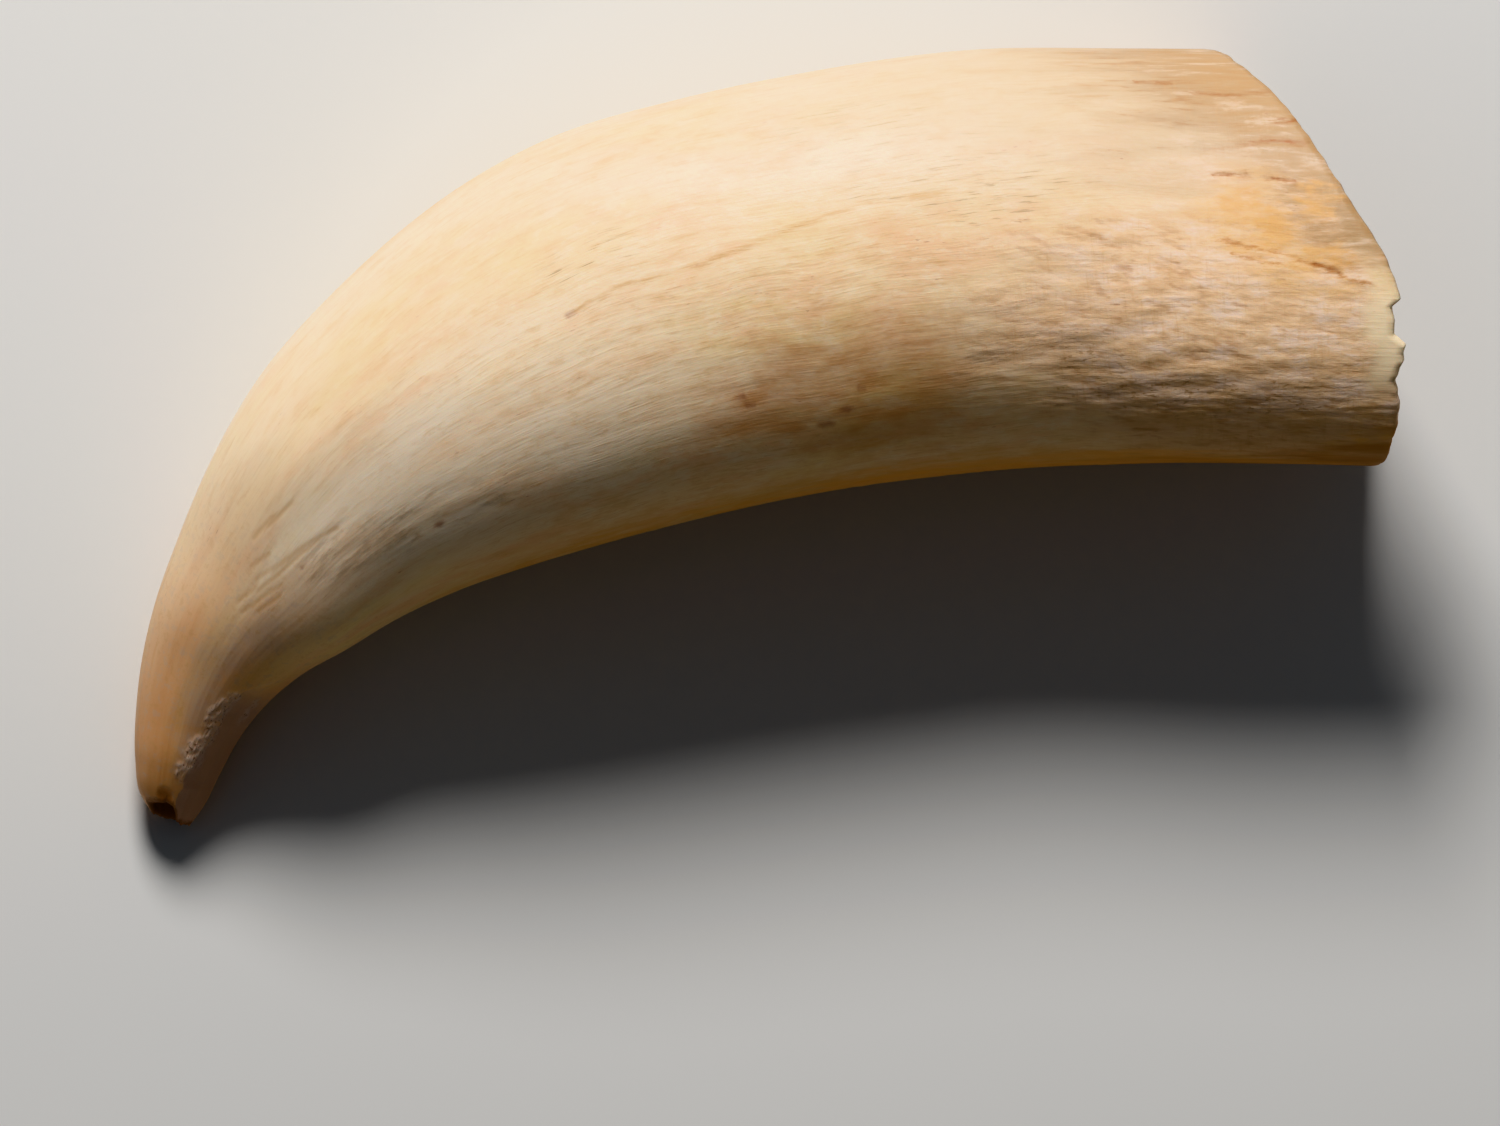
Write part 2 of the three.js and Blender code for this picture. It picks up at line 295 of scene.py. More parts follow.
# Blotches, each as (distance, angle, half length, half width).
BLOTCHES = {
    "tip_chip": [(3.7, 78, 1.5, 1.5)],
    "tip_bloom": [(11, 107, 10, 3), (19, 101, 9, 4), (27, 99, 9, 5), (33, 108, 8, 5)],
    "dented": [(52, 108, 11, 5), (64, 115, 13, 5), (78, 121, 12, 4)],
    "umber_and_shade": [
        (139, 117, 15, 10), (149, 120, 12, 11), (131, 113, 9, 6), (144, 132, 20, 9),
        (126, 126, 15, 6), (150, 250, 24, 12),
    ],
    "spots": [
        (134, 132, 2.2, 1.0), (138, 128, 1.6, 0.9), (123, 121, 1.3, 0.8), (122, 118, 1.1, 0.8),
        (68, 122, 1.5, 0.7), (141, 122, 1.0, 0.8), (102, 81, 1.2, 0.7), (47, 99, 1.0, 0.5),
        (48.5, 101, 0.7, 0.5),
    ],
    "scratched": [(152, 60, 26, 11), (168, 72, 18, 6), (146, 46, 20, 8), (108, 66, 14, 5)],
    "low_gold_and_glow": [(164, 174, 66, 10)],
    "amber_and_shade": [(224, 170, 24, 15), (200, 177, 36, 10)],
    "painted_shade": [(187, 131, 17, 5), (204, 132, 15, 5), (178, 118, 10, 3)],
    "rusty": [
        (202, 76, 4, 2.2), (207, 83, 5, 3), (213, 76, 4, 3), (204, 88, 6, 1.8), (214, 92, 8, 2),
        (222, 150, 6, 5),
    ],
    "flaking": [
        (194, 57, 2.6, 1.0), (204, 60, 1.8, 0.7), (206, 51, 3.2, 1.4), (208, 71, 1.9, 0.7),
        (200, 70, 1.8, 0.5), (203, 74, 1.3, 1.2), (214, 97, 3.0, 1.1), (201, 45, 3, 1.2),
    ],
}

# Lines, each as a half width and routes of (distance, angle) points.
LINES = {
    "flank_folds": (0.55, [
        [(41, 84), (45.5, 90), (50.5, 94), (55, 98)], [(39.5, 88.5), (44.5, 92.5), (51.5, 96)],
        [(47.5, 73), (51, 75), (53.5, 76)], [(45.5, 70.5), (50, 73)], [(35, 88), (38.5, 92), (43, 97)],
        [(42, 77.5), (45, 81.5)], [(37, 96), (41, 100)], [(36, 82), (39.5, 86)], [(43, 88), (48, 93)],
    ]),
    "seam": (0.8, [
        [(102, 81), (110, 79), (122, 79), (130, 77), (138, 74), (147, 71), (159, 71)],
    ]),
    "grooved": (1.9, [
        [(160, 119), (172, 117), (182, 113), (190, 107)],
        [(187, 123), (193, 119), (199, 120), (204, 124)],
        [(200, 126), (207, 123), (213, 122)], [(178, 132), (190, 129), (198, 130)],
        [(186, 241), (202, 238), (214, 240)], [(176, 262), (196, 259), (210, 262)],
        [(190, 312), (202, 309)],
    ]),
    "cracks": (0.9, [
        [(195, 40), (201, 41), (207, 40)], [(202, 58.5), (206, 57.5), (212, 58)],
        [(206, 69), (210, 69.5)], [(198, 68), (203, 68)], [(188, 35), (193, 36)],
        [(207, 51), (211, 50.5)], [(212.5, 92.5), (214.5, 93.5), (216.5, 95)],
    ]),
    "rusty_crack": (0.8, [
        [(198, 86), (203, 88), (208, 90), (211, 92), (214, 93.5), (218, 97), (222, 98)],
        [(200, 90), (206, 92.5), (211, 92)],
    ]),
}


def remember(name, values, kind="FLOAT"):
    """Keeps a value for every point of the tooth, for its relief and its finish."""
    flat = np.asarray(values, np.float32).reshape(rings * count, -1)
    both_ends = np.stack([flat[:count].mean(0), flat[-count:].mean(0)])
    attribute = tooth_mesh.attributes.new(name, kind, "POINT")
    field = "vector" if kind == "FLOAT_VECTOR" else "value"
    attribute.data.foreach_set(field, np.concatenate([flat, both_ends]).ravel())


radius = np.linalg.norm(spoke, axis=-1)
ring_number = np.broadcast_to(np.arange(rings)[:, None], distance.shape)
outside = (ring_number >= pit_rings) & (ring_number < cavity_begins)


def blotches(places):
    """1 in the middle of each blotch, 0 at its edge and less than 0 past it."""
    closest = np.full(distance.shape, -1.0)
    for at, turned, half_length, half_width in places:
        off_angle = (angle - turned + 180) % 360 - 180
        off = np.hypot(
            (distance / MM - at) / half_length, np.radians(off_angle) * radius / MM / half_width
        )
        closest = np.maximum(closest, 1 - off)
    return np.where(outside, closest, -1)


def lines(routes, half_width):
    """1 along each route, 0 at half_width from it and less than 0 past that."""
    closest = np.full(distance.shape, -1.0)
    for route in routes:
        stops = np.array(route, float)
        for (d0, a0), (d1, a1) in zip(stops[:-1], stops[1:]):
            to_x, to_y = (d1 - d0), np.radians(a1 - a0) * radius / MM
            x, y = distance / MM - d0, np.radians(angle - a0) * radius / MM
            t = np.clip((x * to_x + y * to_y) / (to_x**2 + to_y**2), 0, 1)
            closest = np.maximum(closest, 1 - np.hypot(x - t * to_x, y - t * to_y) / half_width)
    return np.where(outside, closest, -1)


from_tip, from_rim = distance / MM, (rim_at - distance) / MM
remember("grain", np.stack([distance, MEAN_RADIUS * cos, MEAN_RADIUS * sin], axis=-1), "FLOAT_VECTOR")
remember("from_tip", from_tip)
remember("from_break", np.where(outside, (distance - tip_edge) / MM, 0))
remember("from_rim", from_rim)
remember("in_pit", ring_number < pit_rings)
remember("in_cavity", ring_number >= cavity_begins)
remember("cavity_depth", np.where(ring_number >= cavity_begins - 1, from_rim, 0))

over_edge = np.radians(facet_edge - angle) * radius / MM
ridge_line = RIDGE_STRENGTH - np.abs(over_edge - RIDGE_OVER_EDGE) / RIDGE_HALF_WIDTH
ridge_line -= fade(from_tip, *RIDGE_ENDS) + fade(from_tip, *RIDGE_STARTS)
remember("facet", on_facet * outside * fade(from_tip, *FACET_FADES))
remember("facet_edge", np.where(outside, np.maximum(ridge_line, blotches(RIDGE_LAST_PART)), -1))

# The long sides of the tooth. Each value is 1 on its side and fades over the angles given.
crown_side = fade(angle, 55, 90) * fade(angle, 148, 122)
inner_side = fade(angle, 138, 172) * fade(angle, 232, 198)
inner_half = fade(angle, 122, 140)
wrinkled_side = fade(angle, 72, 98) * fade(angle, 320, 260)
outer_side = np.maximum(fade(angle, 84, 60), fade(angle, 280, 320))
outer_half = np.maximum(fade(angle, 100, 84), fade(angle, 270, 320))
pale_rim_part = fade(angle, 94, 104) * fade(angle, 134, 120)
crown_stretch = fade(from_tip, *CROWN_LIGHT_STARTS) * fade(from_tip, *CROWN_LIGHT_ENDS)
remember("painted_light_crown", crown_side * crown_stretch)
remember("inner_gold_and_glow", inner_side * fade(from_tip, *INNER_GLOW_STARTS))
remember("outer_painted_highlight", np.maximum(fade(angle, 78, 30), fade(angle, 290, 330)))
remember("above_fold", np.maximum(fade(angle, 156, 124), fade(angle, 200, 230)))
remember("toward_root", outer_side * fade(from_tip, *ROOT_CREAM_STARTS))
remember("near_rim", np.where(outside, 1.2 - from_rim / ROOT_TAN_REACH - 0.8 * wrinkled_side, 0))
remember("rim_tan", np.where(outside, outer_half * fade(from_rim, *RIM_TAN_STARTS), 0))
remember("rim_band", np.where(outside, pale_rim_part * fade(from_rim, *RIM_BAND_STARTS), 0))

short_of_rim = np.maximum((from_rim - WRINKLES_END) / WRINKLES_END_OVER, 0.6 * inner_half)
remember("wrinkled", np.minimum(blotches(WRINKLED), short_of_rim))
remember("orange", np.minimum(blotches(ORANGE_PATCHES), (from_rim - ORANGE_ENDS) / ORANGE_ENDS_OVER))
for name, places in BLOTCHES.items():
    remember(name, blotches(places))
for name, (half_width, routes) in LINES.items():
    remember(name, lines(routes, half_width))


# The tooth's relief: low swellings all over, fine fibres along the grain, wrinkles with small
# slanting folds and grooves in the cementum of the root, folds and shallow dents on the flank,
# chipped edges at the facet and the rim, and rings in the pulp cavity.
SWELLING = 0.3 * MM
FIBRE = 0.018 * MM
WRINKLE = 0.14 * MM
FOLD_SLANT = 0.3  # how steeply the small folds of the root run towards the inner edge
GROOVE = 0.13 * MM
CRUMBLE = 0.24 * MM
CRACK = 0.1 * MM
CHIP = 0.6 * MM
CAVITY_RIPPLE = 0.16 * MM
CAVITY_RIPPLE_SPACING = 2.6 * MM
CRUMB_SIZE = 0.8 * MM  # of the crumbs into which the dentine breaks
RIDGE_BREAKS = 1.6 * MM  # from one break in the facet's ridge to the next


def add(tree, kind, inputs=None, **settings):
    """A new node, with its settings made and each input set to a value or joined to a socket."""
    node = tree.nodes.new(kind)
    for name, value in settings.items():
        setattr(node, name, value)
    for key, value in (inputs or {}).items():
        if isinstance(value, bpy.types.NodeSocket):
            tree.links.new(value, node.inputs[key])
        else:
            node.inputs[key].default_value = value
    return node


def sums(tree, operation, a, b=0.0, c=0.0):
    """The result of one step of arithmetic."""
    return add(tree, "ShaderNodeMath", {0: a, 1: b, 2: c}, operation=operation).outputs[0]


def times(tree, *values):
    """All the values multiplied together."""
    product = values[0]
    for value in values[1:]:
        product = sums(tree, "MULTIPLY", product, value)
    return product


def ramp(tree, value, start, end, to_start=0.0, to_end=1.0):
    """Changes smoothly from to_start to to_end while value goes from start to end."""
    sockets = {"Value": value, "From Min": start, "From Max": end, "To Min": to_start, "To Max": to_end}
    return add(tree, "ShaderNodeMapRange", sockets, interpolation_type="SMOOTHSTEP").outputs["Result"]


def along_grain(tree, grain, length, width, seed, detail=3.0, roughness=0.5):
    """Noise from 0 to 1 whose marks are length long and width wide, in metres along the grain."""
    stretched = add(tree, "ShaderNodeVectorMath", {
        0: grain, 1: (1 / length, 1 / width, 1 / width), 2: (seed * 7.3, seed * 3.1, seed * 5.7),
    }, operation="MULTIPLY_ADD").outputs[0]
    return add(tree, "ShaderNodeTexNoise", {
        "Vector": stretched, "Scale": 1.0, "Detail": detail, "Roughness": roughness,
    }).outputs[0]


def centred(tree, noise):
    """The noise from -1 to 1."""
    return sums(tree, "MULTIPLY_ADD", noise, 2.0, -1.0)


def creases(tree, noise, half_width):
    """1 along the lines where the noise crosses its middle, and 0 at half_width from them."""
    return ramp(tree, sums(tree, "ABSOLUTE", sums(tree, "SUBTRACT", noise, 0.5)), half_width, 0.0)


RELIEF_SIZES = {
    "Swelling": SWELLING, "Fibre": FIBRE, "Wrinkle": WRINKLE, "Groove": GROOVE, "Crumble": CRUMBLE,
    "Crack": CRACK, "Chip": CHIP, "Cavity ripple": CAVITY_RIPPLE, "Ripple spacing": CAVITY_RIPPLE_SPACING,
}
relief = bpy.data.node_groups.new("grown relief", "GeometryNodeTree")
relief.interface.new_socket("Geometry", in_out="INPUT", socket_type="NodeSocketGeometry")
relief.interface.new_socket("Geometry", in_out="OUTPUT", socket_type="NodeSocketGeometry")
size_sockets = {
    name: relief.interface.new_socket(name, in_out="INPUT", socket_type="NodeSocketFloat")
    for name in RELIEF_SIZES
}
finish_socket = relief.interface.new_socket("Finish", in_out="INPUT", socket_type="NodeSocketMaterial")
given = add(relief, "NodeGroupInput").outputs


def crumbling(tree, place):
    """Noise from 0 to 1 for the crumbs of broken dentine."""
    return along_grain(tree, place, CRUMB_SIZE, CRUMB_SIZE, 8, detail=3.0, roughness=0.65)


def broken_ridge(tree, place, line):
    """1 on the ridge that the line gives, and 0 off it and in its breaks."""
    breaks = centred(tree, along_grain(tree, place, RIDGE_BREAKS, RIDGE_BREAKS, 39))
    return ramp(tree, sums(tree, "ADD", breaks, line), 0.1, 0.8)


def kept(name, kind="FLOAT"):
    """A remembered value, in the relief."""
    node = add(relief, "GeometryNodeInputNamedAttribute", {"Name": name}, data_type=kind)
    return node.outputs["Attribute"]


grain_kept = kept("grain", "FLOAT_VECTOR")
from_rim_kept = kept("from_rim")
from_tip_kept = kept("from_tip")
hollow = sums(relief, "MAXIMUM", kept("in_cavity"), kept("in_pit"))
skin = sums(relief, "SUBTRACT", 1.0, hollow)

swell = along_grain(relief, grain_kept, 34 * MM, 15 * MM, 1, detail=1.0)
ripples = along_grain(relief, grain_kept, 22 * MM, 4.2 * MM, 2, detail=2.0)
fibres = along_grain(relief, grain_kept, 16 * MM, 1.3 * MM, 3, detail=2.0)
zone_edge = along_grain(relief, grain_kept, 12 * MM, 5 * MM, 4)
wrinkle_zone = ramp(relief, sums(
    relief, "MULTIPLY_ADD", centred(relief, zone_edge), 0.45, kept("wrinkled"),
), -0.05, 0.5)
broad = along_grain(relief, grain_kept, 17 * MM, 3.6 * MM, 5, detail=2.0, roughness=0.55)
fine = along_grain(relief, grain_kept, 6.0 * MM, 1.25 * MM, 6, detail=3.0, roughness=0.65)
fine_lines = creases(relief, fine, 0.09)
ways = add(relief, "ShaderNodeSeparateXYZ", {0: grain_kept}).outputs
aslant = add(relief, "ShaderNodeCombineXYZ", {
    0: ways[0], 1: sums(relief, "MULTIPLY_ADD", ways[0], FOLD_SLANT, ways[1]), 2: ways[2],
}).outputs[0]
small_folds = along_grain(relief, aslant, 4.5 * MM, 1.0 * MM, 61, detail=3.0, roughness=0.6)
wrinkle_lines = times(relief, fine_lines, ramp(relief, broad, 0.3, 0.62, 1.0, 0.35))
grooves = ramp(relief, sums(
    relief, "MULTIPLY_ADD", centred(relief, fine), 0.5, kept("grooved"),
), 0.0, 0.9)
position = add(relief, "GeometryNodeInputPosition").outputs[0]
ridge_zone = broken_ridge(relief, position, kept("facet_edge"))
crumbs = crumbling(relief, position)
flake_zone = ramp(relief, kept("flaking"), 0.0, 0.6)
flake_noise = along_grain(relief, grain_kept, 3.2 * MM, 1.4 * MM, 9, detail=3.0)
crack_line = ramp(relief, kept("cracks"), 0.5, 1.0)
flank_folds = ramp(relief, kept("flank_folds"), 0.0, 1.0)
dent_zone = ramp(relief, kept("dented"), 0.0, 0.6)
dent_noise = along_grain(relief, grain_kept, 6.0 * MM, 3.4 * MM, 60, detail=3.0, roughness=0.6)
lip_zone = ramp(relief, from_rim_kept, 2.2, 0.3)
lip = along_grain(relief, grain_kept, 2.4 * MM, 2.0 * MM, 10, detail=3.0)
cavity_turns = times(relief, kept("cavity_depth"), MM * math.tau)
ripple_phase = sums(relief, "DIVIDE", cavity_turns, given["Ripple spacing"])
ripple_wander = times(relief, along_grain(relief, grain_kept, 18 * MM, 18 * MM, 11), 9.0)
cavity_rings = sums(relief, "SINE", sums(relief, "ADD", ripple_phase, ripple_wander))

heights = [
    times(relief, centred(relief, swell), given["Swelling"]),
    times(relief, centred(relief, ripples), given["Swelling"], 0.25),
    times(relief, centred(relief, fibres), given["Fibre"], ramp(relief, from_tip_kept, 20.0, 70.0)),
    times(relief, wrinkle_zone, centred(relief, broad), given["Wrinkle"], 1.15),
    times(relief, wrinkle_zone, centred(relief, fine), given["Wrinkle"], 0.5),
    times(relief, wrinkle_zone, centred(relief, small_folds), given["Wrinkle"], 0.9),
    times(relief, wrinkle_zone, wrinkle_lines, given["Wrinkle"], -0.25),
    times(relief, grooves, given["Groove"], -1.0),
    times(relief, flake_zone, centred(relief, flake_noise), given["Wrinkle"], 0.7),
    times(relief, crack_line, given["Crack"], -1.0),
    times(relief, flank_folds, given["Crack"], -0.45),
    times(relief, dent_zone, centred(relief, dent_noise), given["Wrinkle"], 1.2),
    times(relief, ramp(relief, kept("tip_chip"), 0.0, 0.7), given["Chip"], -1.0),
    times(relief, ridge_zone, centred(relief, crumbs), given["Crumble"]),
    times(relief, ridge_zone, given["Crumble"], 0.4),
    times(relief, lip_zone, centred(relief, lip), given["Crumble"], 0.45),
]
height = heights[0]
for part in heights[1:]:
    height = sums(relief, "ADD", height, part)
height = times(relief, height, skin)
cavity_walls = times(relief, kept("in_cavity"), ramp(relief, from_rim_kept, 1.0, 6.0))
ringed = times(relief, cavity_rings, given["Cavity ripple"], cavity_walls)
pitted = times(relief, centred(relief, crumbs), given["Crumble"], 0.8, kept("in_pit"))
height = sums(relief, "ADD", sums(relief, "ADD", height, ringed), pitted)
height = times(relief, height, ramp(relief, from_tip_kept, 0.0, 9.0, 0.35, 1.0))

raised = add(relief, "GeometryNodeSetPosition", {
    "Geometry": given["Geometry"],
    "Offset": add(relief, "ShaderNodeVectorMath", {
        0: add(relief, "GeometryNodeInputNormal").outputs[0], "Scale": height,
    }, operation="SCALE").outputs[0],
}).outputs[0]
# Where it rests, the underside is rubbed flat.
here = add(relief, "ShaderNodeSeparateXYZ", {0: position}).outputs
rubbed = add(relief, "GeometryNodeSetPosition", {
    "Geometry": raised,
    "Position": add(relief, "ShaderNodeCombineXYZ", {
        0: here[0], 1: here[1], 2: sums(relief, "MAXIMUM", here[2], 0.0),
    }).outputs[0],
}).outputs[0]
sunk = sums(relief, "MAXIMUM", times(relief, wrinkle_zone, wrinkle_lines, 0.6), grooves)
grown = rubbed
for name, value in (("sunk", sunk), ("wrinkle_zone", wrinkle_zone), ("crest", small_folds)):
    grown = add(relief, "GeometryNodeStoreNamedAttribute", {
        "Geometry": grown, "Name": name, "Value": value,
    }, data_type="FLOAT", domain="POINT").outputs[0]
grown = add(relief, "GeometryNodeRealizeInstances", {"Geometry": grown}).outputs[0]
grown = add(relief, "GeometryNodeSetMaterial", {
    "Geometry": grown, "Material": given["Finish"],
}).outputs[0]
add(relief, "NodeGroupOutput", {"Geometry": grown})


# The tooth's finish: satin ivory, a little translucent. The colour is cream with yellow and peach
# clouds and fine fibres along the grain, with painted light on the crown and a painted highlight on
# the outer side, golden along the inner edge with a painted warm glow, tan at the tip, brown in the
# middle with some painted shade, and lilac, tan and orange at the root, with painted shade in its
# hollows and on its lower side.
# The smooth skin.
CREAM = (0.86, 0.66, 0.44)
YELLOW = (0.83, 0.64, 0.38)
PEACH = (0.84, 0.57, 0.37)
PAINTED_HIGHLIGHT_PALE = (0.88, 0.73, 0.54)
PALE = (0.90, 0.75, 0.56)
CROWN_PAINTED_LIGHT = (0.90, 0.77, 0.62)
TAN = (0.72, 0.49, 0.28)
GOLDEN_AND_GLOW = (0.68, 0.38, 0.14)
LOW_GOLD_AND_GLOW = (0.80, 0.40, 0.13)
FIBRE_BROWN = (0.60, 0.38, 0.19)
UMBER_AND_SHADE = (0.58, 0.31, 0.16)

# The tip and its facet.
TIP_TAN = (0.67, 0.37, 0.19)
TIP_BLOOM = (0.58, 0.47, 0.39)
FACET_TAN = (0.50, 0.38, 0.32)
BONE_WHITE = (0.66, 0.54, 0.46)
CHIP_BROWN = (0.50, 0.23, 0.10)
PAINTED_DARK_SHADE = (0.22, 0.12, 0.08)
PIT_SHADE_BROWN = (0.24, 0.13, 0.08)

# The root, its rim and the pulp cavity.
LILAC = (0.80, 0.63, 0.51)
WRINKLE_PEACH = (0.77, 0.55, 0.37)
BLOCK_TAN = (0.66, 0.44, 0.26)
PAINTED_FURROW_SHADE = (0.56, 0.35, 0.21)
PAINTED_SHADE_BROWN = (0.38, 0.28, 0.20)
PAINTED_HOLLOW_SHADE = (0.34, 0.22, 0.13)
ROOT_TAN = (0.40, 0.275, 0.17)
RIM_TAN = (0.46, 0.30, 0.165)
STREAK_BROWN = (0.38, 0.20, 0.09)
ROOT_CREAM = (0.60, 0.47, 0.34)
AMBER_AND_SHADE = (0.40, 0.19, 0.07)
ORANGE = (0.76, 0.51, 0.27)
RUST = (0.72, 0.42, 0.16)
RIM_PALE = (0.86, 0.72, 0.51)
CAVITY_TAN = (0.62, 0.42, 0.22)

# Small marks.
CRACK_RUST = (0.50, 0.24, 0.09)
CRACK_RED = (0.36, 0.14, 0.05)
SPOT_RED = (0.34, 0.16, 0.12)
SCRATCH_GREY = (0.36, 0.25, 0.15)

REFRACTION = 1.5
SATIN = (0.44, 0.54)  # the roughness of the smooth skin, from its glossiest to its dullest
WORN_ROUGHER = 0.18  # how much rougher the wrinkles, the facet and the cavity are
SUBSURFACE = 0.12
SUBSURFACE_REACH = 1.6 * MM
SUBSURFACE_SPREAD = (1.0, 0.55, 0.3)  # red light goes furthest
FINE_RELIEF = 0.07 * MM
MIX_UNDER, MIX_OVER, MIX_RESULT = 6, 7, 2  # the colour sockets of a Mix node

ivory = bpy.data.materials.new("tooth ivory")
ivory.use_nodes = True
finish = ivory.node_tree
finish.nodes.clear()


def read(name, output="Fac"):
    """A remembered value, in the finish."""
    return add(finish, "ShaderNodeAttribute", attribute_name=name).outputs[output]


def lay(colour, over, *masks, strength=1.0):
    """The colour with another laid over it, as strongly as the masks and the strength say."""
    node = add(finish, "ShaderNodeMix", {0: times(finish, *masks, strength)}, data_type="RGBA")
    for socket, value in ((node.inputs[MIX_UNDER], colour), (node.inputs[MIX_OVER], over)):
        if isinstance(value, bpy.types.NodeSocket):
            finish.links.new(value, socket)
        else:
            socket.default_value = (*value, 1)
    return node.outputs[MIX_RESULT]


# The fibres wander a little to each side.
WANDER = 2.4 * MM
WANDER_LENGTH = 22 * MM
straight = read("grain", "Vector")
wander = add(finish, "ShaderNodeTexNoise", {
    "Vector": straight, "Scale": 1 / WANDER_LENGTH, "Detail": 1.0,
}).outputs["Color"]
grain = add(finish, "ShaderNodeVectorMath", {
    0: wander, 1: (0, WANDER, WANDER), 2: straight,
}, operation="MULTIPLY_ADD").outputs[0]


def ragged_mask(name, start, end, length, width, seed, amount=0.8):
    """A remembered place whose edge is broken up by marks of this length and width."""
    ragged = centred(finish, along_grain(finish, grain, length, width, seed, detail=4.0, roughness=0.6))
    return ramp(finish, sums(finish, "MULTIPLY_ADD", ragged, amount, read(name)), start, end)


clouds = along_grain(finish, grain, 30 * MM, 11 * MM, 21, detail=3.0)
patches = along_grain(finish, grain, 17 * MM, 6 * MM, 22, detail=4.0, roughness=0.6)
mottles = along_grain(finish, grain, 7 * MM, 2.4 * MM, 26, detail=4.0, roughness=0.65)
streaks = along_grain(finish, grain, 26 * MM, 1.9 * MM, 23, detail=3.0, roughness=0.6)
threads = along_grain(finish, grain, 9 * MM, 0.45 * MM, 24, detail=3.0, roughness=0.6)
hairs = along_grain(finish, grain, 3.2 * MM, 0.22 * MM, 25, detail=2.0)

colour = lay(CREAM, YELLOW, ramp(finish, clouds, 0.45, 0.68))
colour = lay(colour, PEACH, ramp(finish, patches, 0.46, 0.7), strength=0.8)
# The outer side, which faces the lamp, is painted paler: a painted highlight.
painted_highlight = times(finish, read("outer_painted_highlight"), ramp(finish, clouds, 0.6, 0.35, 0.55, 0.95))
colour = lay(colour, PAINTED_HIGHLIGHT_PALE, painted_highlight)
colour = lay(colour, TAN, ramp(finish, mottles, 0.5, 0.74), strength=0.42)
# The top of the crown is painted paler where it turns from the lamp: painted light.
crown = times(finish, read("painted_light_crown"), ramp(finish, patches, 0.66, 0.4, 0.4, 0.8))
colour = lay(colour, CROWN_PAINTED_LIGHT, crown)
# Towards the tip, the fibres run together and fade under the polish.
clear = ramp(finish, read("from_tip"), 16.0, 120.0, 0.15, 1.0)
colour = lay(colour, PALE, ramp(finish, streaks, 0.5, 0.74), clear, strength=0.3)
grained = along_grain(finish, grain, 4.2 * MM, 1.6 * MM, 55, detail=5.0, roughness=0.7)
colour = lay(colour, PALE, ramp(finish, grained, 0.5, 0.64), clear, strength=0.5)
colour = lay(colour, TAN, ramp(finish, grained, 0.48, 0.32), clear, strength=0.4)
colour = lay(colour, FIBRE_BROWN, ramp(finish, threads, 0.5, 0.78), clear, strength=0.36)
colour = lay(colour, FIBRE_BROWN, ramp(finish, hairs, 0.54, 0.78), clear, strength=0.4)

# The golden inner edge with a painted warm glow, brown clouds in the middle, partly painted shade, and
# the tan of the tip with a grey bloom.
# The golden inner edge is partly the tooth's tone and partly a painted warm glow in the shade.
glow = times(finish, read("inner_gold_and_glow"), ramp(finish, mottles, 0.35, 0.65, 0.45, 0.9))
colour = lay(colour, GOLDEN_AND_GLOW, glow)
# The brown clouds are a stain; their lowest blotches on the flank darken it as painted shade.
umber_and_shade = ragged_mask("umber_and_shade", -0.1, 0.8, 9 * MM, 4.5 * MM, 31, 0.9)
colour = lay(colour, UMBER_AND_SHADE, umber_and_shade, ramp(finish, mottles, 0.3, 0.65, 0.3, 0.65))
cloudy_distance = sums(finish, "MULTIPLY_ADD", centred(finish, clouds), 16.0, read("from_tip"))
tip = ramp(finish, cloudy_distance, 58.0, 8.0)
colour = lay(colour, TIP_TAN, tip, strength=0.85)
place = add(finish, "ShaderNodeTexCoord").outputs["Object"]
haze = along_grain(finish, place, 4 * MM, 4 * MM, 56, detail=5.0, roughness=0.65)
hazy = sums(finish, "MULTIPLY_ADD", centred(finish, haze), 0.9, read("tip_bloom"))
bloom = ramp(finish, hazy, -0.2, 0.9)
colour = lay(colour, TIP_BLOOM, bloom, strength=0.48)
polished = ramp(finish, read("from_tip"), 60.0, 30.0)
speckle = along_grain(finish, place, 1.5 * MM, 1.5 * MM, 54, detail=4.0, roughness=0.65)
colour = lay(colour, TIP_BLOOM, polished, ramp(finish, speckle, 0.52, 0.66), strength=0.28)
colour = lay(colour, FIBRE_BROWN, polished, ramp(finish, speckle, 0.46, 0.34), strength=0.26)

# The cementum of the root: tan near the rim, lilac and tan blocks in the wrinkles with painted shade
# in their furrows, a fine weave across the grain, orange and rusty stains, painted shade on the lower
# side, and an orange-brown lower edge that is partly stain, partly painted shade and glow.
# The outer side is darker towards the root.
colour = lay(colour, ROOT_CREAM, read("toward_root"), ramp(finish, clouds, 0.3, 0.7, 0.35, 0.7))
root_tan = ragged_mask("near_rim", 0.0, 1.0, 16 * MM, 3 * MM, 47, 0.5)
colour = lay(colour, ROOT_TAN, root_tan, strength=0.85)
strokes = along_grain(finish, grain, 8 * MM, 1.0 * MM, 57, detail=4.0, roughness=0.65)
colour = lay(colour, STREAK_BROWN, root_tan, ramp(finish, strokes, 0.52, 0.7), strength=0.6)
colour = lay(colour, LILAC, root_tan, ramp(finish, strokes, 0.44, 0.3), strength=0.25)
wrinkles = read("wrinkle_zone")
crest = read("crest")
flecks = along_grain(finish, grain, 2.6 * MM, 0.5 * MM, 32, detail=4.0, roughness=0.7)
blocks = along_grain(finish, grain, 6.0 * MM, 2.2 * MM, 49, detail=3.0, roughness=0.6)
weave = along_grain(finish, grain, 0.6 * MM, 4.0 * MM, 44, detail=3.0, roughness=0.6)
colour = lay(colour, WRINKLE_PEACH, wrinkles, strength=0.8)
colour = lay(colour, BLOCK_TAN, wrinkles, ramp(finish, blocks, 0.5, 0.36), strength=0.5)
